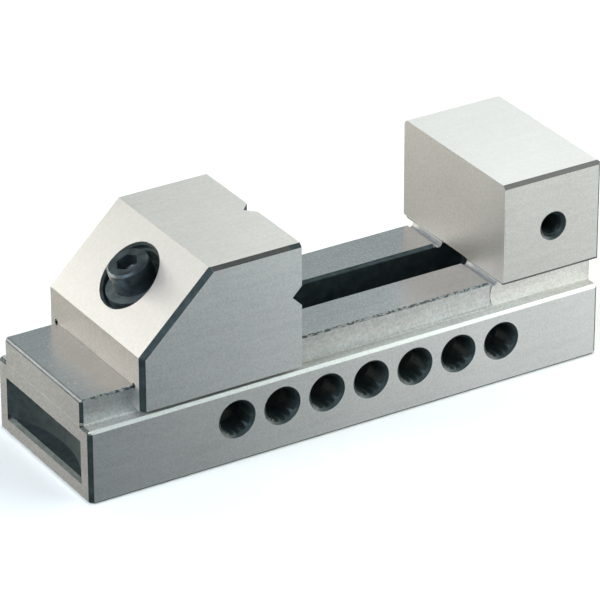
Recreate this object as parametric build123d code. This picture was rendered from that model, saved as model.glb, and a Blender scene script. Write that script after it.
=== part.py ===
"""Precision tool vise: a ground steel body with a fixed jaw, a sliding jaw, and a tilting screw
that pulls the sliding jaw down and forward from a cross nut seated in a row of notches.

Frame: millimetres, +Z up, +X along the bed towards the fixed jaw, origin at the middle of the
underside. The sliding jaw stands in its widest working place, above the first notch, with the
cross nut let down just clear of the notches.
"""
import math
import os

from build123d import *

# Body: a block with a narrower rail along its top and the fixed jaw at the +X end.
body_length = 115.0
body_width = 36.0
ledge_height = 15.45
bed_height = 20.85
rail_width = 30.0
jaw_top_height = 42.6
fixed_jaw_thickness = 22.7

# Body edges.
block_corner_chamfer = 0.8
ledge_chamfer = 0.58
ledge_end_chamfer = 0.55
foot_chamfer = 0.4
rail_corner_chamfer = 0.6
rail_edge_chamfer = 0.4
rail_foot_radius = 0.5
fixed_jaw_top_chamfer = 0.75
fixed_jaw_under_chamfer = 0.9
fixed_jaw_end_chamfer = 0.7

# Round relief along the foot of the fixed jaw, and the patch that the wheel leaves beside it.
foot_relief_radius = 0.85
foot_relief_setback = 0.45
wheel_patch_height = 0.12
wheel_patch_radius = 5.3
wheel_patch_lead = 1.1

# Slot through the bed for the screw, and the wider channel under it for the cross nut.
slot_width = 9.0
slot_chamfer = 0.6
slot_lead = 16.5
slot_under_jaw = 5.0
slot_roof_rise = 0.8
channel_width = 24.0
channel_lead = 18.0
channel_tail = 9.0
channel_corner_radius = 4.0

# Cross holes: their upper halves are the notches that the nut seats in.
first_notch = 32.0
notch_pitch = 10.0
notch_height = 9.2
notch_radius = 3.35
notch_chamfer = 0.7

# Recesses in both ends for clamps, each cut by a disc cutter lying flat.
recess_floor = 3.7
recess_height = 8.5
recess_depth = 4.2
recess_cutter_radius = 27.5
recess_lip_chamfer = 0.7

# Tapped hole in the side of the fixed jaw, for a work stop.
stop_hole_from_end = 11.3
stop_hole_height = 31.3
stop_hole_core_radius = 2.1
stop_hole_mouth_radius = 3.05
stop_hole_depth = 12.0

# Sliding jaw: a saddle over the rail, with a slanted face for the screw.
jaw_front = 11.4
jaw_length = 35.0
slant_start_height = 27.7
slant_run = 15.3
skirt_gap = 0.95
guide_clearance = 0.02
jaw_front_chamfer = 0.95
jaw_top_chamfer = 0.75
channel_relief_radius = 0.6
groove_depth = 2.05
groove_height = 31.7

# Pocket in the slanted face: a short bore down to a ball seat.
pocket_radius = 6.8
pocket_chamfer = 0.45
pocket_up_slope = 0.35
seat_depth = 1.7
passage_clearance = 0.4
passage_steep = 14.0
passage_flat = 47.0

# Ball washer, screw, cross nut and retaining ring.
ball_radius = 6.2
ball_clearance = 0.05
washer_top_drop = 0.5
washer_thickness = 4.3
washer_bore_clearance = 0.25
thread_radius = 2.5
head_radius = 4.25
head_height = 5.0
head_chamfer = 0.45
socket_across_flats = 4.0
socket_depth = 2.6
screw_past_nut = 1.35
tip_chamfer = 0.5
nut_clearance = 0.05
nut_end_clearance = 0.2
nut_drop_clearance = 0.3
nut_chamfer = 0.5
nut_mouth_chamfer = 0.35
thread_clearance = 0.05
ring_gap = 0.15
ring_thickness = 0.6
ring_groove_depth = 0.5
ring_radius = 3.1
ring_opening = 1.6

# Places that follow from the sizes above.
left_end = -body_length / 2
fixed_face = body_length / 2 - fixed_jaw_thickness
rail_half = rail_width / 2
body_half = body_width / 2
first_notch_x = left_end + first_notch
notch_count = 1 + int((fixed_face - first_notch_x) / notch_pitch)
last_notch_x = first_notch_x + (notch_count - 1) * notch_pitch

jaw_front_x = left_end + jaw_front
jaw_grip_x = jaw_front_x + jaw_length
skirt_bottom = ledge_height + skirt_gap
slant_rise = jaw_top_height - slant_start_height
slant_angle = math.atan2(slant_rise, slant_run)
pocket_x = jaw_front_x + slant_run / 2 + pocket_up_slope * math.cos(slant_angle)
pocket_z = slant_start_height + slant_rise / 2 + pocket_up_slope * math.sin(slant_angle)
pivot_x = pocket_x + seat_depth * math.sin(slant_angle)
pivot_z = pocket_z - seat_depth * math.cos(slant_angle)

nut_radius = notch_radius - nut_clearance
nut_z = notch_height - nut_radius - nut_drop_clearance
nut_reach = math.hypot(first_notch_x - pivot_x, pivot_z - nut_z)
screw_tilt = math.degrees(math.atan2(first_notch_x - pivot_x, pivot_z - nut_z))
shank_radius = thread_radius
screw_tip_reach = nut_reach + nut_radius + screw_past_nut
bore_radius = thread_radius + washer_bore_clearance
ring_reach = nut_reach + nut_radius + ring_gap


def prism_along_y(points, width):
    """A closed outline in the XZ plane, given a width centred on the vise's middle plane."""
    outline = make_face(Polyline(*[(x, 0, z) for x, z in points], close=True))
    return extrude(outline, width / 2, dir=(0, 1, 0), both=True)


def chamfer_where(solid, size, test):
    """Chamfer the edges whose middle point passes the test."""
    edges = ShapeList([e for e in solid.edges() if test(e)])
    return chamfer(edges, size)


def near(value, target):
    return abs(value - target) < 1e-4


def on_side(edge, half_width):
    """True for an edge that lies in one of the two side planes."""
    box = edge.bounding_box()
    return near(abs(box.min.Y), half_width) and near(box.min.Y, box.max.Y)


def runs_along(edge, axis):
    size = edge.bounding_box().size
    lengths = {"X": size.X, "Y": size.Y, "Z": size.Z}
    return all(near(lengths[a], 0) for a in lengths if a != axis)


def lower_block():
    block = Pos(0, 0, ledge_height / 2) * Box(body_length, body_width, ledge_height)
    block = chamfer_where(block, block_corner_chamfer, lambda e: runs_along(e, "Z"))
    top = block.edges().group_by(Axis.Z)[-1]
    block = chamfer(top.filter_by(Axis.X), ledge_chamfer)
    top = block.edges().group_by(Axis.Z)[-1]
    block = chamfer(top.filter_by(Axis.Y), ledge_end_chamfer)
    foot = block.edges().group_by(Axis.Z)[0]
    return chamfer(foot, foot_chamfer)


def rail():
    """The rail reaches down past the ledge's end chamfers, so that it closes their middle."""
    low = ledge_height - ledge_end_chamfer
    depth = bed_height - low
    bar = Pos(0, 0, low + depth / 2) * Box(body_length, rail_width, depth)
    bar = chamfer_where(bar, rail_corner_chamfer, lambda e: runs_along(e, "Z"))
    top = bar.edges().group_by(Axis.Z)[-1]
    bar = chamfer(top.filter_by(Axis.Y), rail_corner_chamfer)
    top = bar.edges().group_by(Axis.Z)[-1]
    return chamfer(top.filter_by(Axis.X), rail_edge_chamfer)


def rail_foot(side):
    """The round that the wheel's edge leaves in the corner between rail and ledge."""
    length = body_length - 2 * rail_corner_chamfer
    r = rail_foot_radius
    y = side * (rail_half + r)
    z = ledge_height + r
    bar = Pos(0, y - side * r / 2, z - r / 2) * Box(length, r, r)
    return bar - Pos(0, y, z) * Rot(0, 90, 0) * Cylinder(r, length + 1)


def fixed_jaw():
    height = jaw_top_height - bed_height
    x = fixed_face + fixed_jaw_thickness / 2
    jaw = Pos(x, 0, bed_height + height / 2) * Box(fixed_jaw_thickness, body_width, height)
    outer = body_length / 2
    jaw = chamfer_where(jaw, block_corner_chamfer,
                        lambda e: runs_along(e, "Z") and near(e.center().X, outer))
    jaw = chamfer_where(jaw, fixed_jaw_top_chamfer,
                        lambda e: runs_along(e, "X") and near(e.center().Z, jaw_top_height))
    jaw = chamfer_where(jaw, fixed_jaw_under_chamfer,
                        lambda e: runs_along(e, "X") and near(e.center().Z, bed_height))
    return chamfer_where(jaw, fixed_jaw_end_chamfer,
                         lambda e: runs_along(e, "Y") and near(e.center().X, outer)
                         and near(e.center().Z, jaw_top_height))


def wheel_patch():
    """The stretch of rail side under the fixed jaw that the grinding wheel doesn't reach."""
    low = ledge_height - wheel_patch_height
    arc_x = fixed_face - wheel_patch_lead + wheel_patch_radius
    arc_z = (ledge_height + bed_height) / 2
    width = rail_width + 2 * wheel_patch_height
    end = body_length / 2 - rail_corner_chamfer
    patch = prism_along_y([(arc_x, low), (end, low), (end, bed_height), (arc_x, bed_height)], width)
    disc = Pos(arc_x, 0, arc_z) * Rot(90, 0, 0) * Cylinder(wheel_patch_radius, width)
    band = Pos(arc_x, 0, arc_z) * Box(2 * wheel_patch_radius, width, bed_height - low)
    return patch + (disc & band)


def screw_slot():
    """Slot through the bed. Its near end is round; the far end runs on under the fixed jaw."""
    start = first_notch_x - slot_lead
    end = fixed_face + slot_under_jaw
    radius = slot_width / 2
    roof = bed_height + slot_roof_rise
    height = roof - notch_height
    middle = notch_height + height / 2
    straight = Box(end - start - radius, slot_width, height)
    slot = Pos((start + radius + end) / 2, 0, middle) * straight
    slot += Pos(start + radius, 0, middle) * Cylinder(radius, height)
    slot += slot_edge(start, radius)
    return slot


def slot_edge(start, radius):
    """The chamfer round the slot's top edge, up to the fixed jaw."""
    reach = slot_chamfer + slot_roof_rise
    low = bed_height - slot_chamfer
    cone = Pos(start + radius, 0, low + reach / 2) * Cone(radius, radius + reach, reach)
    section = [(radius, low), (radius + reach, low + reach), (-radius - reach, low + reach), (-radius, low)]
    outline = make_face(Polyline(*[(start + radius, y, z) for y, z in section], close=True))
    run = extrude(outline, fixed_face - start - radius - foot_relief_setback, dir=(1, 0, 0))
    return cone + run


def nut_channel():
    """Channel cut from the underside. Its roof lies at the middle of the cross holes."""
    start = first_notch_x - channel_lead
    end = last_notch_x + channel_tail
    plan = RectangleRounded(end - start, channel_width, channel_corner_radius)
    return Pos((start + end) / 2, 0, 0) * extrude(plan, notch_height)


def cross_hole(x):
    hole = Cylinder(notch_radius, body_width)
    mouth = notch_radius + notch_chamfer
    for side in (1, -1):
        depth = side * (body_half - notch_chamfer / 2)
        flare = (notch_radius, mouth) if side == 1 else (mouth, notch_radius)
        hole += Pos(0, 0, depth) * Cone(flare[0], flare[1], notch_chamfer)
    return Pos(x, 0, notch_height) * Rot(90, 0, 0) * hole


def end_recess(side):
    """A flat-lying disc cutter's pocket in one end, with a chamfered lower lip."""
    centre = side * (body_length / 2 + recess_cutter_radius - recess_depth)
    middle = recess_floor + recess_height / 2
    pocket = Pos(centre, 0, middle) * Cylinder(recess_cutter_radius, recess_height)
    half = math.sqrt(recess_cutter_radius**2 - (recess_cutter_radius - recess_depth)**2)
    lip = Rectangle(recess_lip_chamfer * math.sqrt(2), recess_lip_chamfer * math.sqrt(2))
    bar = extrude(Plane.XZ * Rot(0, 0, 45) * lip, half, both=True)
    return pocket + Pos(side * body_length / 2, 0, recess_floor) * bar


def stop_hole():
    mouth_depth = stop_hole_mouth_radius - stop_hole_core_radius
    core = Cylinder(stop_hole_core_radius, stop_hole_depth, align=(Align.CENTER, Align.CENTER, Align.MAX))
    tip = stop_hole_core_radius * math.tan(math.radians(30))
    drill = Cone(0, stop_hole_core_radius, tip, align=(Align.CENTER, Align.CENTER, Align.MAX))
    mouth = Cone(stop_hole_core_radius, stop_hole_mouth_radius, mouth_depth,
                 align=(Align.CENTER, Align.CENTER, Align.MAX))
    hole = core + Pos(0, 0, -stop_hole_depth) * drill + mouth
    x = body_length / 2 - stop_hole_from_end
    return Pos(x, -body_half, stop_hole_height) * Rot(90, 0, 0) * hole


def vise_body():
    body = lower_block() + rail() + rail_foot(-1) + rail_foot(1) + fixed_jaw() + wheel_patch()
    relief = Cylinder(foot_relief_radius, body_width)
    body -= Pos(fixed_face - foot_relief_setback, 0, bed_height) * Rot(90, 0, 0) * relief
    body -= screw_slot()
    body -= nut_channel()
    for number in range(notch_count):
        body -= cross_hole(first_notch_x + number * notch_pitch)
    for side in (-1, 1):
        body -= end_recess(side)
    return body - stop_hole()


def jaw_block():
    outline = [
        (jaw_front_x, skirt_bottom),
        (jaw_front_x, slant_start_height),
        (jaw_front_x + slant_run, jaw_top_height),
        (jaw_grip_x, jaw_top_height),
        (jaw_grip_x, skirt_bottom),
    ]
    block = prism_along_y(outline, body_width)
    block = chamfer_where(
        block, jaw_top_chamfer,
        lambda e: on_side(e, body_half) and near(e.center().Z, jaw_top_height))
    return chamfer_where(
        block, jaw_front_chamfer,
        lambda e: on_side(e, body_half) and e.center().X < jaw_front_x + slant_run
        and e.center().Z > skirt_bottom + 1)


def saddle_channel():
    """The gap that fits over the rail, with round reliefs in its inner corners."""
    half = rail_half + guide_clearance
    top = bed_height + guide_clearance
    length = jaw_length + 2
    centre = (jaw_front_x + jaw_grip_x) / 2
    gap = Pos(centre, 0, top / 2) * Box(length, 2 * half, top)
    for side in (-1, 1):
        gap += Pos(centre, side * half, top) * Rot(0, 90, 0) * Cylinder(channel_relief_radius, length)
    return gap


def screw_pocket():
    """Bore normal to the slanted face, ending in a ball seat, made about the screw's pivot."""
    into_face = Pos(pivot_x, 0, pivot_z) * Rot(0, -math.degrees(slant_angle), 0)
    bore = Cylinder(pocket_radius, 2 * seat_depth, align=(Align.CENTER, Align.CENTER, Align.MIN))
    mouth = Pos(0, 0, seat_depth - pocket_chamfer) * Cone(
        pocket_radius, pocket_radius + 2 * pocket_chamfer, 2 * pocket_chamfer,
        align=(Align.CENTER, Align.CENTER, Align.MIN))
    return into_face * (bore + mouth + Sphere(ball_radius + ball_clearance))


def screw_passage():
    """Passage below the ball seat, long enough for the screw to tilt."""
    radius = shank_radius + passage_clearance
    reach = (pivot_z - bed_height) / math.cos(math.radians(passage_flat)) + radius
    fan = [(pivot_x, pivot_z)]
    passage = None
    for angle in (passage_steep, passage_flat):
        run = Pos(pivot_x, 0, pivot_z) * Rot(0, -angle, 0) * Cylinder(
            radius, reach, align=(Align.CENTER, Align.CENTER, Align.MAX))
        passage = run if passage is None else passage + run
        tilt = math.radians(angle)
        fan.append((pivot_x + reach * math.sin(tilt), pivot_z - reach * math.cos(tilt)))
    return passage + prism_along_y(fan, 2 * radius)


def work_grooves():
    """One level and one upright vee in the gripping face, for holding round work."""
    d = groove_depth
    level = prism_along_y(
        [(jaw_grip_x + d, groove_height - 2 * d), (jaw_grip_x + d, groove_height + 2 * d),
         (jaw_grip_x - d, groove_height)], body_width)
    plan = make_face(Polyline(
        (jaw_grip_x + d, -2 * d, 0), (jaw_grip_x + d, 2 * d, 0), (jaw_grip_x - d, 0, 0), close=True))
    return level + extrude(plan, jaw_top_height + d)


def movable_jaw():
    jaw = jaw_block() - saddle_channel()
    jaw -= screw_pocket()
    jaw -= screw_passage()
    return jaw - work_grooves()


def on_screw(solid):
    """Place a piece made with the pivot at the origin and the screw's head up."""
    return Pos(pivot_x, 0, pivot_z) * Rot(0, -screw_tilt, 0) * solid


def ball_washer():
    ball = Sphere(ball_radius)
    slab_middle = -washer_top_drop - washer_thickness / 2
    slab = Pos(0, 0, slab_middle) * Box(2 * ball_radius, 2 * ball_radius, washer_thickness)
    hole = Pos(0, 0, slab_middle) * Cylinder(bore_radius, 2 * washer_thickness)
    return on_screw((ball & slab) - hole)


def clamp_screw():
    head_base = -washer_top_drop
    head = Pos(0, 0, head_base) * Cylinder(
        head_radius, head_height, align=(Align.CENTER, Align.CENTER, Align.MIN))
    head = chamfer(head.edges().group_by(Axis.Z)[-1], head_chamfer)
    corner_radius = socket_across_flats / math.sqrt(3)
    socket = extrude(RegularPolygon(corner_radius, 6), -socket_depth)
    point = Cone(0, socket_across_flats / 2, socket_across_flats / 4,
                 align=(Align.CENTER, Align.CENTER, Align.MAX))
    socket += Pos(0, 0, -socket_depth) * point
    head -= Pos(0, 0, head_base + head_height) * socket
    shank_length = screw_tip_reach - washer_top_drop
    shank = Pos(0, 0, head_base) * Cylinder(
        thread_radius, shank_length, align=(Align.CENTER, Align.CENTER, Align.MAX))
    shank = chamfer(shank.edges().group_by(Axis.Z)[0], tip_chamfer)
    groove = Cylinder(thread_radius + 1, ring_thickness) - Cylinder(
        thread_radius - ring_groove_depth, ring_thickness)
    shank -= Pos(0, 0, -ring_reach - ring_thickness / 2) * groove
    return on_screw(head + shank)


def retaining_ring():
    inner = thread_radius - ring_groove_depth
    ring = Cylinder(ring_radius, ring_thickness) - Cylinder(inner, ring_thickness)
    ring -= Pos(-ring_radius, 0, 0) * Box(2 * ring_radius, ring_opening, ring_thickness)
    return on_screw(Pos(0, 0, -ring_reach - ring_thickness / 2) * ring)


def cross_nut():
    length = channel_width - 2 * nut_end_clearance
    bar = Cylinder(nut_radius, length)
    bar = chamfer(bar.edges().filter_by(GeomType.CIRCLE), nut_chamfer)
    bar = Rot(90, 0, 0) * bar
    bore = thread_radius + thread_clearance
    bar -= Cylinder(bore, 4 * nut_radius)
    for side in (1, -1):
        mouth = Cone(bore, bore + 2 * nut_mouth_chamfer, 2 * nut_mouth_chamfer)
        turn = Rot(0, 0, 0) if side == 1 else Rot(180, 0, 0)
        bar -= turn * Pos(0, 0, nut_radius) * mouth
    return on_screw(Pos(0, 0, -nut_reach) * bar)


os.makedirs("parts", exist_ok=True)
makers = (vise_body, movable_jaw, ball_washer, clamp_screw, retaining_ring, cross_nut)
for make in makers:
    piece = make()
    export_step(piece, f"parts/{make.__name__}.step")
    print(make.__name__, round(piece.volume, 1), "mm3")
print("pivot", round(pivot_x, 3), round(pivot_z, 3), "tilt", round(screw_tilt, 3), "reach", round(nut_reach, 3))
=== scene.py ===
# %% [markdown]
# # A precision tool vise, dressed in Blender
# The vise comes in as a finished CAD model: six solid pieces, already in place, in metres.
# Blender's job is the looks. Most pieces keep their CAD shape and get a steel finish.
# Two get more: the clamp screw is modelled again with its real thread, and a copy of the
# body has the thread of its stop hole cut into it.

import math

import bpy
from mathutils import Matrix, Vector


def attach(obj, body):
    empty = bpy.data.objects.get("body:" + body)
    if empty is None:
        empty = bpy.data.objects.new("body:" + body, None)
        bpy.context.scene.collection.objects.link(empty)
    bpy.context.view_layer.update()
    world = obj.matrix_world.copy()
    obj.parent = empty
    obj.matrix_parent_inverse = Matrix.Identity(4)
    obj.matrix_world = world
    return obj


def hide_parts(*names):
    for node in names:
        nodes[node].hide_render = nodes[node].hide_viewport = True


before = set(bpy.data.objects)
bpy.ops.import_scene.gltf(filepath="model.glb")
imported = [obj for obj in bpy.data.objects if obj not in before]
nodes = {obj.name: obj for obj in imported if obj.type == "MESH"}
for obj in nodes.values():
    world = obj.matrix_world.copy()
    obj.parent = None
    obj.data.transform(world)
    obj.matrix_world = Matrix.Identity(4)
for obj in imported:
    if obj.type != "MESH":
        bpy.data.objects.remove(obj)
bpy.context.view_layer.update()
print("pieces:", sorted(nodes))

# %% [markdown]
# ## Sizes that this script shares with the vise
# Every number is in metres and in the vise's own frame: X runs along the bed towards the
# fixed jaw, Y across it, and Z is up. The origin is under the middle of the bed.
# The pivot is the centre of the ball washer. The clamp screw tilts about it.

# %% Named places and sizes
MM = 0.001
END_X = 57.5 * MM         # both ends of the bed
SIDE_Y = 18.0 * MM        # both sides of the bed
RAIL_Y = 15.0 * MM        # both sides of the rail on top of the bed
LEDGE_Z = 15.45 * MM      # the ledge beside the rail
BED_Z = 20.85 * MM        # the rail's top
JAW_TOP_Z = 42.6 * MM     # the top of both jaws
GRIP_X = 34.8 * MM        # the fixed jaw's gripping face
JAW_FRONT_X = -46.1 * MM  # the sliding jaw's upright front
SLANT_TOP_X = -30.8 * MM  # the upper edge of its slanted face
pivot = Vector((-0.0370132, 0.0, 0.03417629))
screw_tilt = math.radians(21.94418)
print("the screw leans", round(math.degrees(screw_tilt), 1), "degrees from upright")

# %% [markdown]
# ## The camera
# The photograph was taken from in front of the left end, about 28 degrees above the table,
# from far away with a long lens. A long lens keeps parallel edges nearly parallel.
# The position below was worked out from the corners of the vise, so the frame matches.

# %% Camera
camera_data = bpy.data.cameras.new("photo_camera")
camera_data.lens = 272.1
camera_data.sensor_width = 36.0
camera_data.clip_end = 50.0
camera = bpy.data.objects.new("photo_camera", camera_data)
bpy.context.scene.collection.objects.link(camera)
camera.location = (-0.40654, -0.66544, 0.42696)
camera.rotation_euler = (math.radians(62.4216), 0.0, math.radians(-31.388))
camera.rotation_euler.rotate_axis("Z", math.radians(-0.135))
bpy.context.scene.camera = camera
print("camera distance", round((camera.location - pivot).length, 3), "m")

# %% [markdown]
# ## Small helpers for shader nodes
# A procedural material is a chain of small nodes. These helpers add a node, fill its inputs
# and hand back its output, so that a finish reads like a recipe.

# %% Start a finish and put it on a piece
def new_finish(name):
    material = bpy.data.materials.new(name)
    material.use_nodes = True
    return material, material.node_tree.nodes["Principled BSDF"]


def dress(piece, finish):
    piece.data.materials.clear()
    piece.data.materials.append(finish)


def plug(tree, value, socket):
    """Link a node's output to a socket, or write a plain value into it."""
    if isinstance(value, bpy.types.NodeSocket):
        tree.links.new(value, socket)
    else:
        socket.default_value = value


print("finish helpers ready")


# %% Node helpers that calculate
def maths(tree, operation, first, second=0.0):
    node = tree.nodes.new("ShaderNodeMath")
    node.operation = operation
    plug(tree, first, node.inputs[0])
    plug(tree, second, node.inputs[1])
    return node.outputs[0]


def vector_maths(tree, operation, first, second):
    node = tree.nodes.new("ShaderNodeVectorMath")
    node.operation = operation
    plug(tree, first, node.inputs[0])
    plug(tree, second, node.inputs[1])
    return node.outputs["Value" if operation == "DOT_PRODUCT" else "Vector"]


def remap(tree, value, low, high, to_low=0.0, to_high=1.0):
    """Stretch low..high to to_low..to_high, and hold the ends."""
    node = tree.nodes.new("ShaderNodeMapRange")
    plug(tree, value, node.inputs["Value"])
    node.inputs["From Min"].default_value = low
    node.inputs["From Max"].default_value = high
    node.inputs["To Min"].default_value = to_low
    node.inputs["To Max"].default_value = to_high
    return node.outputs["Result"]


def mix(tree, factor, first, second, kind="FLOAT"):
    """Go from first to second as the factor goes from 0 to 1."""
    node = tree.nodes.new("ShaderNodeMix")
    node.data_type = kind
    plug(tree, factor, node.inputs["Factor"])
    plug(tree, first, node.inputs["A"])
    plug(tree, second, node.inputs["B"])
    return node.outputs["Result"]


def mix_colour(tree, factor, first, second):
    return mix(tree, factor, first, second, "RGBA")


print("calculating helpers ready")


# %% Node helpers for patterns
def noise(tree, place, scale, detail=2.0, stretch=(1.0, 1.0, 1.0)):
    """A cloudy pattern; a higher scale makes it finer, a low stretch draws it out."""
    mapping = tree.nodes.new("ShaderNodeMapping")
    mapping.inputs["Scale"].default_value = stretch
    tree.links.new(place, mapping.inputs["Vector"])
    node = tree.nodes.new("ShaderNodeTexNoise")
    node.inputs["Scale"].default_value = scale
    node.inputs["Detail"].default_value = detail
    tree.links.new(mapping.outputs["Vector"], node.inputs["Vector"])
    return node.outputs["Fac"]


def fine_bump(tree, shader, height, strength):
    """Roughen how the light sees a surface, by a tenth of a millimetre at most."""
    bump = tree.nodes.new("ShaderNodeBump")
    bump.inputs["Strength"].default_value = strength
    bump.inputs["Distance"].default_value = 0.1 * MM
    tree.links.new(height, bump.inputs["Height"])
    tree.links.new(bump.outputs["Normal"], shader.inputs["Normal"])


print("pattern helpers ready")

# %% [markdown]
# ## Masks: which surfaces were ground
# A tool vise is milled, hardened in a furnace, and then ground. Hardening leaves a dark scale.
# The grinding wheel takes it off the big flat faces, but not out of holes and recesses,
# and not off the small chamfers. Two questions find the ground faces:
# does the face look straight along one of the ground directions, and is it on the outside?
# A mask answers such a question with 1 or 0 at every point of the surface.

# %% Masks from a direction and from a box
STRAIGHT = [(1, 0, 0), (-1, 0, 0), (0, 1, 0), (0, -1, 0), (0, 0, 1), (0, 0, -1)]
SAME_WAY = 0.985          # the cosine of 10 degrees


def faces_along(tree, normal, directions):
    """1 where the surface looks along one of the directions, 0 elsewhere."""
    best = 0.0
    for direction in directions:
        match = vector_maths(tree, "DOT_PRODUCT", normal, tuple(direction))
        best = maths(tree, "MAXIMUM", match, best)
    return maths(tree, "GREATER_THAN", best, SAME_WAY)


def inside_box(tree, place, low, high):
    """1 inside the box between two corners, 0 outside."""
    middle = [(a + b) / 2 for a, b in zip(low, high)]
    half = [(b - a) / 2 for a, b in zip(low, high)]
    offset = vector_maths(tree, "SUBTRACT", place, middle)
    share = vector_maths(tree, "DIVIDE", offset, half)
    parts = tree.nodes.new("ShaderNodeSeparateXYZ")
    tree.links.new(vector_maths(tree, "ABSOLUTE", share, (0, 0, 0)), parts.inputs[0])
    largest = maths(tree, "MAXIMUM", parts.outputs[0], parts.outputs[1])
    largest = maths(tree, "MAXIMUM", largest, parts.outputs[2])
    return maths(tree, "LESS_THAN", largest, 1.0)


print("ground directions:", len(STRAIGHT))


# %% Masks from other masks
def any_of(tree, masks):
    total = masks[0]
    for mask in masks[1:]:
        total = maths(tree, "MAXIMUM", total, mask)
    return total


def both(tree, first, second):
    return maths(tree, "MULTIPLY", first, second)


def without(tree, mask, hole):
    return maths(tree, "MULTIPLY", mask, maths(tree, "SUBTRACT", 1.0, hole))


print("masks can be joined, crossed and cut")

# %% [markdown]
# ## The ground steel finish
# Ground steel isn't a mirror. The wheel leaves very fine lines, all one way, and the metal
# shows soft clouds in the light. Each face was ground on its own, so each has its own tone:
# a slide way is finished with a fine wheel and reflects more sharply than a jaw's top.
# A few tones are painted light as well: the rail's top is painted darker for the dark room
# it mirrors, and the chamfers round the jaws' tops are painted paler, as painted highlight.
# One recipe lays these zones over the dark scale, one after another. A zone is a mask, a
# grey, a roughness, a warmth (above 0 leans to beige, below 0 to blue) and a grit, which
# says how far clouds, lines and grain make the grey wander up and down.

# %% One zone of steel
def zone(mask, grey, rough, warmth=0.0, grit=0.14):
    return mask, grey, rough, warmth, grit


def tone(grey, warmth):
    """A grey that leans a little to beige or to blue; blue moves further than red."""
    return (grey * (1 + warmth), grey, grey * (1 - 1.4 * warmth), 1)


print("a warm grey:", [round(v, 3) for v in tone(0.5, 0.03)])

# %% The steel's own pattern
CLOUDS, LINES, GRAIN = 0.25, 0.2, 0.55    # how much each adds to the shade
LINE_STRETCH = (0.12, 1.0, 1.0)           # the wheel's lines run along the bed


def steel_pattern(tree, place):
    """The shade from 0 to 1 of ground steel, its grain and its lines."""
    clouds = noise(tree, place, 45.0, 3.0)
    grain = noise(tree, place, 2100.0, 2.0)
    lines = noise(tree, place, 900.0, 3.0, LINE_STRETCH)
    shade = maths(tree, "ADD", maths(tree, "MULTIPLY", clouds, CLOUDS),
                  maths(tree, "MULTIPLY", lines, LINES))
    shade = maths(tree, "ADD", shade, maths(tree, "MULTIPLY", grain, GRAIN))
    return remap(tree, shade, 0.3, 0.7), grain, lines


print("shares of the pattern:", CLOUDS, LINES, GRAIN)

# %% Ground steel in zones over dark scale
SCALE_DARK = (0.030, 0.043, 0.046, 1)
SCALE_PALE = (0.060, 0.080, 0.084, 1)
SCALE_ROUGH, SCALE_METAL = 0.5, 0.6       # scale is only half a metal


def zoned_steel(name, zones):
    finish, shader = new_finish(name)
    tree = finish.node_tree
    where = tree.nodes.new("ShaderNodeTexCoord")
    place, normal = where.outputs["Object"], where.outputs["Normal"]
    shade, grain, lines = steel_pattern(tree, place)
    mottle = remap(tree, noise(tree, place, 600.0, 4.0), 0.3, 0.7)
    colour = mix_colour(tree, mottle, SCALE_DARK, SCALE_PALE)
    rough, metal = SCALE_ROUGH, SCALE_METAL
    for mask_of, grey, zone_rough, warmth, grit in zones:
        mask = mask_of(tree, place, normal)
        steel = mix_colour(tree, shade, tone(grey * (1 - grit), warmth),
                           tone(grey * (1 + grit), warmth))
        colour = mix_colour(tree, mask, colour, steel)
        rough = mix(tree, mask, rough, zone_rough)
        metal = mix(tree, mask, metal, 1.0)
    rough = maths(tree, "ADD", rough, remap(tree, grain, 0.2, 0.8, -0.03, 0.03))
    tree.links.new(colour, shader.inputs["Base Color"])
    tree.links.new(metal, shader.inputs["Metallic"])
    tree.links.new(rough, shader.inputs["Roughness"])
    fine_bump(tree, shader, maths(tree, "ADD", grain, lines), 0.05)
    return finish


print("steel recipe ready")

# %% [markdown]
# ## Where the body was ground
# The outside of the body is ground on every straight face. Everything deeper than a hair
# under those faces is inside a hole, a slot or a recess, and keeps its scale. Three boxes
# cover that inside: the bed below the ledge, the slot in the rail, and the fixed jaw.

# %% The body's ground faces
HAIR = 0.04 * MM
FAR = 100 * MM            # past the vise on every side, for boxes without an end
SLOT_X, SLOT_Y = (-45.0 * MM, 40.5 * MM), 4.6 * MM


def body_ground(tree, place, normal):
    outside = faces_along(tree, normal, STRAIGHT)
    side = SIDE_Y - HAIR
    bed = inside_box(tree, place, (-END_X + HAIR, -side, HAIR),
                     (END_X - HAIR, side, LEDGE_Z - 0.3 * MM))
    slot = inside_box(tree, place, (SLOT_X[0], -SLOT_Y, 5.0 * MM),
                      (SLOT_X[1], SLOT_Y, BED_Z - 0.2 * MM))
    jaw = inside_box(tree, place, (GRIP_X + 0.4 * MM, -side, BED_Z + 0.3 * MM),
                     (END_X - HAIR, side, JAW_TOP_Z - HAIR))
    return without(tree, outside, any_of(tree, [bed, slot, jaw]))


print("a hair is", HAIR / MM, "mm")


# %% Masks for one face or one edge
def ground_in(low, high, ground=body_ground):
    """The ground faces that lie in one box."""
    def mask(tree, place, normal):
        return both(tree, ground(tree, place, normal), inside_box(tree, place, low, high))
    return mask


def broken_edge(low, high):
    """The slanted and round faces that lie in one box, such as a chamfer."""
    def mask(tree, place, normal):
        straight = faces_along(tree, normal, STRAIGHT)
        return without(tree, inside_box(tree, place, low, high), straight)
    return mask


def near_and_far(low, high):
    """A box on the near side, and its mirror image on the far side."""
    far_low, far_high = (low[0], -high[1], low[2]), (high[0], -low[1], high[2])
    return [(low, high), (far_low, far_high)]


print("one box and its mirror image:", near_and_far((0, -2, 0), (1, -1, 1)))
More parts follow.
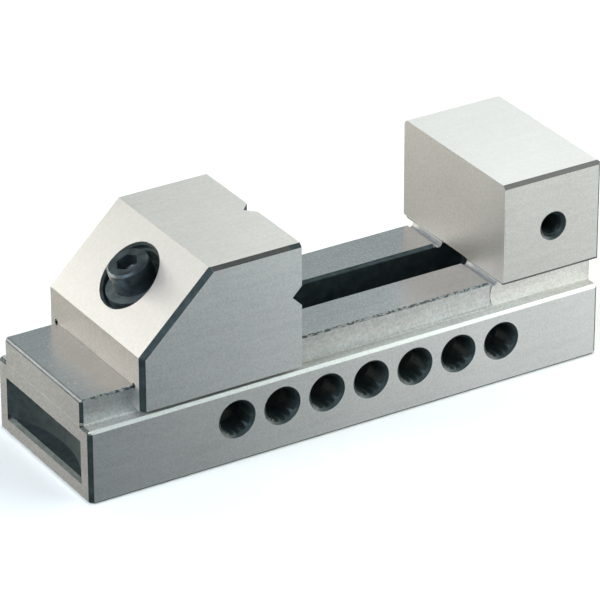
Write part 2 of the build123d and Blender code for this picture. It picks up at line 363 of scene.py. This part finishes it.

# %% [markdown]
# ## The bed's zones
# The ends were ground with a coarser wheel than the sides. The rail's top is the slide way:
# it has the finest finish, so it mirrors the room more sharply. Its grey is also painted much
# darker than the other ground faces: painted shade that stands in for the dark room it mirrors.
# The ledge beside the rail is where the wheel's corner ran, and is the roughest.

# %% Zones of the bed
body_zones = [zone(body_ground, 0.92, 0.40, -0.02)]
for low_x, high_x in [(-FAR, -END_X + HAIR), (END_X - HAIR, FAR)]:
    body_zones.append(zone(ground_in((low_x, -FAR, -FAR), (high_x, FAR, FAR)),
                           0.73, 0.42, -0.02, 0.18))
rail_top_painted_dark = ground_in((-FAR, -FAR, BED_Z - HAIR), (GRIP_X - HAIR, FAR, BED_Z + HAIR))
rail_sides = ground_in((-END_X + 0.2 * MM, -RAIL_Y - HAIR, LEDGE_Z + HAIR),
                       (END_X - 0.2 * MM, RAIL_Y + HAIR, BED_Z - HAIR))
ledge = ground_in((-FAR, -FAR, LEDGE_Z - HAIR), (FAR, FAR, LEDGE_Z + HAIR))
body_zones += [
    # the rail's top: grey painted darker, as painted shade for the dark room it mirrors
    zone(rail_top_painted_dark, 0.395, 0.25, -0.02, 0.16),
    zone(rail_sides, 0.765, 0.42, -0.01, 0.24),
    zone(ledge, 0.60, 0.62, 0.025, 0.24),
]
print("zones of the bed:", len(body_zones))

# %% [markdown]
# ## The fixed jaw's zones
# Its gripping face is the brightest. The jaw is as wide as the bed, so the wheel that ground
# the rail's sides stopped short of it and left a paler patch under each side of the jaw.

# %% Zones of the fixed jaw
grip_face = ground_in((GRIP_X - HAIR, -FAR, BED_Z + 0.9 * MM), (GRIP_X + HAIR, FAR, FAR))
jaw_top = ground_in((GRIP_X, -FAR, JAW_TOP_Z - HAIR), (FAR, FAR, FAR))
jaw_side_boxes = near_and_far((GRIP_X + HAIR, -FAR, BED_Z + HAIR),
                              (END_X - HAIR, -SIDE_Y + HAIR, JAW_TOP_Z - HAIR))
patch_boxes = near_and_far((GRIP_X - MM, -RAIL_Y - 0.2 * MM, LEDGE_Z + HAIR),
                           (END_X - HAIR, -RAIL_Y - HAIR, BED_Z))
body_zones += [zone(grip_face, 0.95, 0.36, 0.0, 0.12), zone(jaw_top, 0.79, 0.5, 0.015, 0.06)]
body_zones += [zone(ground_in(*box), 0.80, 0.42, 0.015) for box in jaw_side_boxes]
body_zones += [zone(ground_in(*box), 0.89, 0.45, 0.01, 0.2) for box in patch_boxes]
print("zones with the fixed jaw:", len(body_zones))

# %% [markdown]
# ## The body's edges
# Most chamfers keep their dark scale, which outlines the vise. Some don't. The ledge's were
# ground after the rest and are bright. The round at the rail's foot was left by the corner
# of the wheel. The rail's front edge and the groove at the fixed jaw's foot were milled.
# The rail's long edges are knocked and rubbed bright in patches, and worn() finds those.
# The chamfers round the fixed jaw's top are painted a paler grey than the scale: painted
# highlight where they face the lamp above the front.

# %% Patches where an edge is worn
WORN_STRETCH = (0.5, 1.0, 1.0)


def worn(edge):
    """About half of an edge, in small patches."""
    def mask(tree, place, normal):
        patches = noise(tree, place, 2600.0, 2.0, WORN_STRETCH)
        return both(tree, edge(tree, place, normal), maths(tree, "GREATER_THAN", patches, 0.5))
    return mask


print("worn patches are drawn out by", 1 / WORN_STRETCH[0])

# %% Zones of the edges
ledge_chamfer_boxes = near_and_far((-FAR, -SIDE_Y - 0.1 * MM, LEDGE_Z - 0.65 * MM),
                                   (FAR, -SIDE_Y + 0.65 * MM, LEDGE_Z + HAIR))
rail_foot = broken_edge((-FAR, -RAIL_Y - 0.6 * MM, LEDGE_Z),
                        (FAR, RAIL_Y + 0.6 * MM, LEDGE_Z + 0.55 * MM))
rail_front = broken_edge((-FAR, -RAIL_Y + 0.5 * MM, BED_Z - 0.45 * MM),
                         (-END_X + 0.45 * MM, RAIL_Y - 0.5 * MM, FAR))
jaw_foot_groove = broken_edge((GRIP_X - 1.5 * MM, -17.0 * MM, BED_Z - 0.9 * MM),
                              (GRIP_X + 0.45 * MM, 17.0 * MM, BED_Z + 0.9 * MM))
rail_edge_boxes = near_and_far((-FAR, -RAIL_Y - 0.1 * MM, BED_Z - 0.5 * MM),
                               (GRIP_X - 1.4 * MM, -RAIL_Y + 0.5 * MM, FAR))
fixed_jaw_top_chamfer_highlight = broken_edge((GRIP_X, -FAR, JAW_TOP_Z - MM), (FAR, FAR, FAR))
body_zones += [zone(broken_edge(*box), 0.93, 0.45, 0.0, 0.1) for box in ledge_chamfer_boxes]
body_zones += [
    zone(rail_foot, 0.64, 0.58, 0.03, 0.3),
    zone(rail_front, 0.33, 0.7, -0.03, 0.3),
    zone(jaw_foot_groove, 0.45, 0.7, 0.0, 0.2),
]
body_zones += [zone(worn(broken_edge(*box)), 0.35, 0.55, 0.0, 0.25) for box in rail_edge_boxes]
# painted highlight: the fixed jaw's top chamfers get a paler grey than the scale they share
body_zones.append(zone(fixed_jaw_top_chamfer_highlight, 0.2, 0.45, 0.01))
dress(nodes["vise_body"], zoned_steel("body_ground_steel", body_zones))
print("body zones", len(body_zones))

# %% [markdown]
# ## The sliding jaw's zones
# The jaw is ground on the same straight faces and on its slanted front. The screw pocket
# keeps its scale. It is found by a box that lies just under the slanted face. The chamfers
# round its top are painted a paler grey than the scale, as painted highlight.

# %% The sliding jaw's ground faces
slant = Vector((-14.9, 0.0, 15.3)).normalized()
slant_height = Vector((JAW_FRONT_X, 0.0, 27.7 * MM)).dot(slant)
POCKET_LOW = (JAW_FRONT_X + 0.05 * MM, -7.9 * MM, BED_Z + 0.1 * MM)
POCKET_HIGH = (-14.0 * MM, 7.9 * MM, JAW_TOP_Z - 0.05 * MM)


def jaw_ground(tree, place, normal):
    outside = faces_along(tree, normal, STRAIGHT + [tuple(slant)])
    height = vector_maths(tree, "DOT_PRODUCT", place, tuple(slant))
    under_slant = maths(tree, "LESS_THAN", height, slant_height - 0.05 * MM)
    pocket = inside_box(tree, place, POCKET_LOW, POCKET_HIGH)
    return without(tree, outside, both(tree, under_slant, pocket))


def jaw_slant(tree, place, normal):
    facing = faces_along(tree, normal, [tuple(slant)])
    return both(tree, jaw_ground(tree, place, normal), facing)


print("slanted face leans", round(math.degrees(math.atan2(14.9, 15.3)), 1), "degrees")

# %% Zones of the sliding jaw
sliding_top = ground_in((-FAR, -FAR, JAW_TOP_Z - HAIR), (FAR, FAR, FAR), jaw_ground)
sliding_front = ground_in((-FAR, -FAR, -FAR), (JAW_FRONT_X + HAIR, FAR, FAR), jaw_ground)
sliding_top_chamfer_highlight = broken_edge((SLANT_TOP_X + 0.3 * MM, -FAR, JAW_TOP_Z - 0.8 * MM),
                               (-13.5 * MM, FAR, FAR))
jaw_zones = [
    zone(jaw_ground, 0.93, 0.40, -0.03, 0.15),
    zone(jaw_slant, 0.71, 0.45, 0.0, 0.07),
    zone(sliding_top, 0.73, 0.5, 0.035, 0.1),
    zone(sliding_front, 0.79, 0.40, 0.02),
    # painted highlight: the top chamfers get a paler grey than the scale they share
    zone(sliding_top_chamfer_highlight, 0.13, 0.45),
]
dress(nodes["movable_jaw"], zoned_steel("jaw_ground_steel", jaw_zones))
print("jaw zones", len(jaw_zones))

# %% [markdown]
# ## Black oxide and plain turned steel
# The screw and the ball washer are blackened in a hot bath: nearly black, slightly blue, with
# an oily sheen. The cross nut is turned bar and the ring is spring wire, both dull and plain.
# One recipe does for all four: two tones in fine clouds, and a roughness that wanders.

# %% The recipe for the small parts
def clouded_metal(name, low, high, rough_low, rough_high):
    finish, shader = new_finish(name)
    tree = finish.node_tree
    place = tree.nodes.new("ShaderNodeTexCoord").outputs["Object"]
    mottle = noise(tree, place, 420.0, 4.0)
    grain = noise(tree, place, 3000.0, 2.0)
    colour = mix_colour(tree, remap(tree, mottle, 0.3, 0.7), low, high)
    tree.links.new(colour, shader.inputs["Base Color"])
    roughness = remap(tree, grain, 0.25, 0.75, rough_low, rough_high)
    tree.links.new(roughness, shader.inputs["Roughness"])
    shader.inputs["Metallic"].default_value = 0.85
    fine_bump(tree, shader, grain, 0.08)
    return finish


print("small parts recipe ready")

# %% Finish the small parts
screw_finish = clouded_metal("screw_black_oxide", (0.031, 0.042, 0.047, 1),
                             (0.094, 0.115, 0.127, 1), 0.4, 0.56)
washer_finish = clouded_metal("washer_black_oxide", (0.08, 0.104, 0.11, 1),
                              (0.19, 0.226, 0.236, 1), 0.42, 0.6)
nut_finish = clouded_metal("nut_turned_steel", (0.22, 0.23, 0.23, 1),
                           (0.4, 0.41, 0.4, 1), 0.32, 0.48)
ring_finish = clouded_metal("ring_spring_steel", (0.09, 0.1, 0.11, 1),
                            (0.2, 0.21, 0.22, 1), 0.3, 0.4)
for node, finish in [("ball_washer", washer_finish), ("clamp_screw", screw_finish),
                     ("cross_nut", nut_finish), ("retaining_ring", ring_finish)]:
    dress(nodes[node], finish)
    print("finished", node)

# %% [markdown]
# ## The clamp screw
# This is an M5 socket head cap screw: a round head with a six-sided socket for the key, a
# plain neck, and a rolled thread down to a groove near the tip, where a spring ring sits.
# It could be one cylinder with a bump pattern, but the thread shows from below, so it is built.
# A screw is turned from bar, so the blank starts as a circle at the tip and is extruded upwards
# step by step, changing its radius as a lathe tool would. Everything is built upright about
# the pivot first, and is leant over to its working angle at the end.

# %% Screw sizes
HEAD_RADIUS = 4.25 * MM
HEAD_TOP = 4.5 * MM
HEAD_BASE = -0.49 * MM    # a hundredth of a millimetre clear of the washer
HEAD_CHAMFER = 0.45 * MM
SHANK_RADIUS = 2.5 * MM
THREAD_ROOT = 2.06 * MM
THREAD_CREST = 2.48 * MM
THREAD_PITCH = 0.8 * MM
THREAD_TOP = -13.5 * MM
THREAD_RUN_OUT = 0.45 * MM
GROOVE_TOP = -34.258 * MM
GROOVE_BASE = -34.858 * MM
GROOVE_RADIUS = 2.0 * MM
TIP = -35.458 * MM
TIP_RADIUS = 2.45 * MM
KEY_RADIUS = 4.0 * MM / math.sqrt(3)   # a 4 mm key, measured across its flats
KEY_DEPTH = 2.6 * MM
print("thread length", round((THREAD_TOP - GROOVE_TOP) / MM, 1), "mm")


# %% Helpers for modelling
def pick(*pieces):
    """Select these pieces and nothing else. The last one becomes the active one."""
    bpy.ops.object.select_all(action="DESELECT")
    for piece in pieces:
        piece.select_set(True)
    bpy.context.view_layer.objects.active = pieces[-1]


def cut_away(piece, tool, name):
    """Take the tool's shape out of the piece, and throw the tool away."""
    pick(piece)
    cut = piece.modifiers.new(name, "BOOLEAN")
    cut.object = tool
    cut.operation = "DIFFERENCE"
    cut.solver = "EXACT"
    bpy.ops.object.modifier_apply(modifier=cut.name)
    bpy.data.objects.remove(tool)


def break_edges(piece, width):
    """A small bevel on every sharp edge catches the light as a real broken edge does."""
    pick(piece)
    bevel = piece.modifiers.new("broken_edges", "BEVEL")
    bevel.width = width
    bevel.segments = 2
    bevel.angle_limit = math.radians(30)
    bpy.ops.object.modifier_apply(modifier=bevel.name)


print("modelling helpers ready")


# %% The turned blank
def turn_blank(name, steps, sides=72):
    """Extrude a circle through a list of (height, radius) steps."""
    height, radius = steps[0]
    bpy.ops.object.select_all(action="DESELECT")
    bpy.ops.mesh.primitive_circle_add(vertices=sides, radius=radius, fill_type="NGON",
                                      location=(0, 0, height))
    blank = bpy.context.object
    blank.name = name
    bpy.ops.object.transform_apply(location=True)
    bpy.ops.object.mode_set(mode="EDIT")
    bpy.ops.mesh.select_all(action="SELECT")
    for next_height, next_radius in steps[1:]:
        rise = {"value": (0, 0, next_height - height)}
        bpy.ops.mesh.extrude_region_move(TRANSFORM_OT_translate=rise)
        ratio = next_radius / radius
        bpy.ops.transform.resize(value=(ratio, ratio, 1.0), center_override=(0, 0, next_height))
        height, radius = next_height, next_radius
    bpy.ops.mesh.select_all(action="SELECT")
    bpy.ops.mesh.normals_make_consistent(inside=False)
    bpy.ops.object.mode_set(mode="OBJECT")
    return blank


screw_steps = [
    (TIP, GROOVE_RADIUS),
    (GROOVE_BASE - 0.1 * MM, TIP_RADIUS),
    (GROOVE_BASE, TIP_RADIUS),
    (GROOVE_BASE, GROOVE_RADIUS),
    (GROOVE_TOP, GROOVE_RADIUS),
    (GROOVE_TOP, THREAD_ROOT),
    (THREAD_TOP, THREAD_ROOT),
    (THREAD_TOP + THREAD_RUN_OUT, SHANK_RADIUS),
    (HEAD_BASE, SHANK_RADIUS),
    (HEAD_BASE, HEAD_RADIUS),
    (HEAD_TOP - HEAD_CHAMFER, HEAD_RADIUS),
    (HEAD_TOP, HEAD_RADIUS - HEAD_CHAMFER),
]
screw = turn_blank("clamp_screw_threaded", screw_steps)
print("turned blank faces", len(screw.data.polygons))

# %% [markdown]
# ## The key socket
# A real socket is drilled first and then punched to six sides, so it ends in a shallow cone.
# The tool that cuts it here is a six-sided bar whose lower end is drawn to a point.

# %% Cut the key socket
CONE_DEPTH = 1.0 * MM
CONE_TIP = 0.05           # how much of the bar's width is left at the point
bpy.ops.object.select_all(action="DESELECT")
bpy.ops.mesh.primitive_cylinder_add(vertices=6, radius=KEY_RADIUS, depth=2 * KEY_DEPTH,
                                    location=(0, 0, HEAD_TOP))
key = bpy.context.object
bpy.ops.object.transform_apply(location=True)
bpy.ops.object.mode_set(mode="EDIT")
bpy.ops.transform.rotate(value=math.radians(30), orient_axis="Z",
                         center_override=(0, 0, HEAD_TOP))
bpy.ops.mesh.select_all(action="DESELECT")
bpy.ops.object.mode_set(mode="OBJECT")
for face in key.data.polygons:
    face.select = face.normal.z < -0.9
bpy.ops.object.mode_set(mode="EDIT")
bpy.ops.mesh.extrude_region_move(TRANSFORM_OT_translate={"value": (0, 0, -CONE_DEPTH)})
bpy.ops.transform.resize(value=(CONE_TIP, CONE_TIP, 1.0),
                         center_override=(0, 0, HEAD_TOP - KEY_DEPTH))
bpy.ops.object.mode_set(mode="OBJECT")
cut_away(screw, key, "key_socket")
break_edges(screw, 0.07 * MM)
print("screw with socket faces", len(screw.data.polygons))

# %% [markdown]
# ## The thread
# A thread is one V-shaped ridge wound round the core. Blender's Screw modifier winds a small
# outline round an axis and lifts it as it goes, so the outline here is one ridge's section.
# Its inner side is sunk a little into the core, so that the two read as one piece.
# The same ridge a little wider is a tap, which will cut the thread of the stop hole.

# %% One ridge's section
RIDGE_HALF = 0.46         # half of the ridge's foot, as a share of the pitch
CREST_HALF = 0.07         # half of its flat crest
RIDGE_SINK = 0.12 * MM


def ridge_outline(name, base_radius, crest_radius, low, pitch):
    """The section as a loop of edges; low is the height of its middle."""
    foot, crest = pitch * RIDGE_HALF, pitch * CREST_HALF
    sunk = base_radius - RIDGE_SINK
    outline = [(sunk, -foot), (base_radius, -foot), (crest_radius, -crest),
               (crest_radius, crest), (base_radius, foot), (sunk, foot)]
    mesh = bpy.data.meshes.new(name)
    points = [(x, 0.0, low + z) for x, z in outline]
    mesh.from_pydata(points, [], [tuple(range(len(points)))])
    ridge = bpy.data.objects.new(name, mesh)
    bpy.context.scene.collection.objects.link(ridge)
    pick(ridge)
    bpy.ops.object.mode_set(mode="EDIT")
    bpy.ops.mesh.select_all(action="SELECT")
    bpy.ops.mesh.delete(type="ONLY_FACE")
    bpy.ops.object.mode_set(mode="OBJECT")
    return ridge


print("ridge foot", round(2 * RIDGE_HALF * THREAD_PITCH / MM, 2), "mm wide")


# %% Wind the ridge
def wind_ridge(name, base_radius, crest_radius, low, turns, pitch, steps=40):
    """Sweep the section round Z, and close the winding's two ends."""
    ridge = ridge_outline(name, base_radius, crest_radius, low, pitch)
    wind = ridge.modifiers.new("wind", "SCREW")
    wind.axis = "Z"
    wind.angle = math.tau
    wind.screw_offset = pitch
    wind.iterations = turns
    wind.steps = wind.render_steps = steps
    bpy.ops.object.modifier_apply(modifier=wind.name)
    bpy.ops.object.mode_set(mode="EDIT")
    bpy.ops.mesh.select_all(action="DESELECT")
    bpy.ops.mesh.select_non_manifold()
    bpy.ops.mesh.edge_face_add()
    bpy.ops.mesh.select_all(action="SELECT")
    bpy.ops.mesh.normals_make_consistent(inside=False)
    bpy.ops.object.mode_set(mode="OBJECT")
    return ridge


turns = int((THREAD_TOP - GROOVE_TOP - 0.6 * MM) / THREAD_PITCH)
thread = wind_ridge("thread", THREAD_ROOT, THREAD_CREST, GROOVE_TOP + 0.5 * THREAD_PITCH,
                    turns, THREAD_PITCH)
pick(thread, screw)
bpy.ops.object.join()
print("thread turns", turns, "faces", len(screw.data.polygons))

# %% [markdown]
# ## Lean the screw over
# The screw is finished upright, so it is turned to its working angle and moved to the pivot
# last. Applying both puts its place into its mesh, as the CAD pieces have theirs. The screw
# then rides on the body named screw and takes the plain CAD screw's place.

# %% Lean the screw to its working angle
pick(screw)
bpy.ops.object.shade_smooth_by_angle(angle=math.radians(32))
screw.rotation_euler = (0.0, -screw_tilt, 0.0)
screw.location = pivot
bpy.ops.object.transform_apply(location=True, rotation=True)
dress(screw, screw_finish)
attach(screw, "screw")
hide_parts("clamp_screw")
print("the screw's tip is", round(min(v.co.z for v in screw.data.vertices) / MM, 2), "mm up")

# %% [markdown]
# ## The thread in the stop hole
# The hole in the fixed jaw's side is tapped, so that a work stop can be screwed on. A tap cuts
# the thread out of the wall, and a Boolean does the same here: the ridge that served as the
# screw's thread is wound once more, a little wider, and taken away from a copy of the body.
# A CAD mesh is loose triangles, so the copy is merged first: a Boolean needs a closed skin.

# %% A merged copy of the body
body = nodes["vise_body"].copy()
body.data = body.data.copy()
body.name = "vise_body_tapped"
bpy.context.scene.collection.objects.link(body)
pick(body)
bpy.ops.object.mode_set(mode="EDIT")
bpy.ops.mesh.select_all(action="SELECT")
bpy.ops.mesh.remove_doubles(threshold=1e-7)
bpy.ops.object.mode_set(mode="OBJECT")
print("merged body points", len(body.data.vertices))

# %% Tap the stop hole
STOP_HOLE = Vector((46.2 * MM, -18.4 * MM, 31.3 * MM))   # just outside the jaw's side
TAP_ROOT, TAP_CREST = 2.08 * MM, 2.5 * MM
TAP_TURNS = 12
tap = wind_ridge("tap", TAP_ROOT, TAP_CREST, 0.0, TAP_TURNS, THREAD_PITCH)
pick(tap)
tap.rotation_euler = (math.radians(-90), 0.0, 0.0)
tap.location = STOP_HOLE
bpy.ops.object.transform_apply(location=True, rotation=True)
cut_away(body, tap, "stop_hole_thread")
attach(body, "vise")
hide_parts("vise_body")
print("tapped body faces", len(body.data.polygons))

# %% [markdown]
# ## The table
# A studio lays a small object on a white sheet that curves up behind it. Ground faces are
# dull mirrors, so what matters is what they look at. The table here is a plain sheet that
# reflections don't see and that casts no shadow: the metal then looks past it, at light from
# below its level, which stands in for what a white sheet throws back from all round.

# %% Table
def plain_sheet(name, height, finish_name, colour, roughness, size=1.0):
    bpy.ops.object.select_all(action="DESELECT")
    bpy.ops.mesh.primitive_plane_add(size=size, location=(0, 0, height))
    sheet = bpy.context.object
    sheet.name = name
    finish, shader = new_finish(finish_name)
    shader.inputs["Base Color"].default_value = colour
    shader.inputs["Roughness"].default_value = roughness
    dress(sheet, finish)
    return sheet


table = plain_sheet("table", -0.02 * MM, "pale_table", (0.86, 0.86, 0.855, 1), 0.9, 12.0)
table.visible_glossy = False
table.visible_shadow = False
print("table", [round(v, 1) for v in table.dimensions], "m")

# %% [markdown]
# ## The shadow mat
# Light that comes up through the table would shine into the holes from below. A dark
# sheet, a little smaller than the vise and hidden under it, blocks that light. Its dark
# colour is also painted shadow: seen through the holes, it stands in for the shade under the
# vise.

# %% Painted shadow mat under the vise
MAT_SIZE = (2 * END_X - 2 * MM, 2 * SIDE_Y - 2 * MM, 1.0)
shadow_mat = plain_sheet("shadow_mat", -0.01 * MM, "painted_shadow_sheet", (0.02, 0.022, 0.022, 1), 1.0)
bpy.ops.object.mode_set(mode="EDIT")
bpy.ops.transform.resize(value=MAT_SIZE, center_override=(0, 0, 0))
bpy.ops.object.mode_set(mode="OBJECT")
print("shadow_mat", [round(v, 4) for v in shadow_mat.dimensions])

# %% [markdown]
# ## The light panels
# Each panel is there for one group of faces: the big one on the left for the body's side and
# the slanted face, the low ones behind for the tops of the rail and the jaws, and the ones on
# the right for the near sides. Their tints differ by a few per cent, as daylight and lamp
# light do in a room. Three more panels light only the table, so that it stays white.

# %% Light panels
AIM = Vector((0.0, 0.0, 0.02))


def light_panel(name, place, size, power, tint=(1.0, 1.0, 1.0)):
    data = bpy.data.lights.new(name, "AREA")
    data.shape = "RECTANGLE"
    data.size, data.size_y = size
    data.energy = power
    data.color = tint
    lamp = bpy.data.objects.new(name, data)
    bpy.context.scene.collection.objects.link(lamp)
    lamp.location = place
    lamp.rotation_euler = (AIM - Vector(place)).to_track_quat("-Z", "Y").to_euler()
    print(name, "at", place)
    return lamp


# name, place, size in metres, watts, tint
panels = [
    ("left_high_panel", (-0.6, -0.1, 0.5), (0.4, 0.4), 4.6, (0.89, 1.02, 1.13)),
    ("back_low_left_panel", (-0.3, 0.4, 0.05), (0.4, 0.1), 1.77, (1.02, 1.0, 0.86)),
    ("left_back_low_panel", (-0.5, 0.3, 0.08), (0.5, 0.15), 0.67, (1.25, 0.95, 0.78)),
    ("right_side_panel", (0.35, -0.12, 0.1), (0.25, 0.25), 1.18, (1.13, 0.98, 0.88)),
    ("front_right_high_panel", (0.35, -0.5, 0.35), (0.3, 0.3), 0.74, (0.78, 1.06, 1.04)),
    ("near_high_right_panel", (0.2, 0.15, 0.3), (0.2, 0.2), 0.22, (1.0, 1.0, 0.99)),
    ("near_right_panel", (0.22, -0.2, 0.06), (0.2, 0.15), 0.13, (0.7, 1.08, 1.1)),
    ("floor_bounce_panel", (0.24, -0.26, -0.12), (0.22, 0.16), 0.094, (1.0, 0.98, 0.92)),
]
for panel in panels:
    light_panel(*panel)

# %% Panels for the table alone
for name, place, power in [("floor_left_panel", (-0.5, -0.6, 0.6), 1.0),
                           ("floor_right_panel", (0.6, 0.3, 0.5), 1.3),
                           ("floor_near_panel", (0.45, -0.45, 0.5), 1.2)]:
    floor_lamp = light_panel(name, place, (0.5, 0.5), power)
    floor_lamp.visible_glossy = False

# %% [markdown]
# ## The room
# The rest of the light comes from the room itself. It is built from six soft patches, three
# from above the horizon and three from below, each strongest in one direction.

# %% A soft patch of room light
world = bpy.data.worlds.new("room")
bpy.context.scene.world = world
world.use_nodes = True
room = world.node_tree
GLOW_FROM, GLOW_FULL = 0.3, 0.95   # cosines: light starts 73 degrees off, is full at 18


def room_glow(direction, strength, tint):
    towards = room.nodes.new("ShaderNodeTexCoord").outputs["Generated"]
    facing = vector_maths(room, "DOT_PRODUCT", towards, direction)
    share = remap(room, facing, GLOW_FROM, GLOW_FULL)
    return mix_colour(room, share, (0, 0, 0, 1), tuple(strength * t for t in tint) + (1,))


def add_light(first, second):
    node = room.nodes.new("ShaderNodeMix")
    node.data_type = "RGBA"
    node.blend_type = "ADD"
    node.inputs["Factor"].default_value = 1.0
    plug(room, first, node.inputs["A"])
    plug(room, second, node.inputs["B"])
    return node.outputs["Result"]


print("room", world.name)

# %% Room light
# direction, strength, tint
patches = [
    ((0.61, 0.61, 0.5), 0.316, (0.83, 1.05, 0.98)),
    ((0.61, 0.61, -0.5), 0.247, (0.76, 1.05, 1.22)),
    ((0, 0.87, 0.5), 0.231, (1.06, 0.98, 1.02)),
    ((0, 0.87, -0.5), 0.121, (1.03, 1.01, 0.8)),
    ((-0.5, -0.8, -0.33), 0.112, (0.75, 1.06, 1.12)),
    ((-0.3, -0.8, 0.52), 0.15, (1.0, 1.0, 1.0)),
]
glow = room_glow(*patches[0])
for patch in patches[1:]:
    glow = add_light(glow, room_glow(*patch))
plug(room, glow, room.nodes["Background"].inputs["Color"])
room.nodes["Background"].inputs["Strength"].default_value = 1.0
scene = bpy.context.scene
scene.view_settings.view_transform = "Standard"
scene.cycles.use_denoising = True
print("room light patches", len(patches))
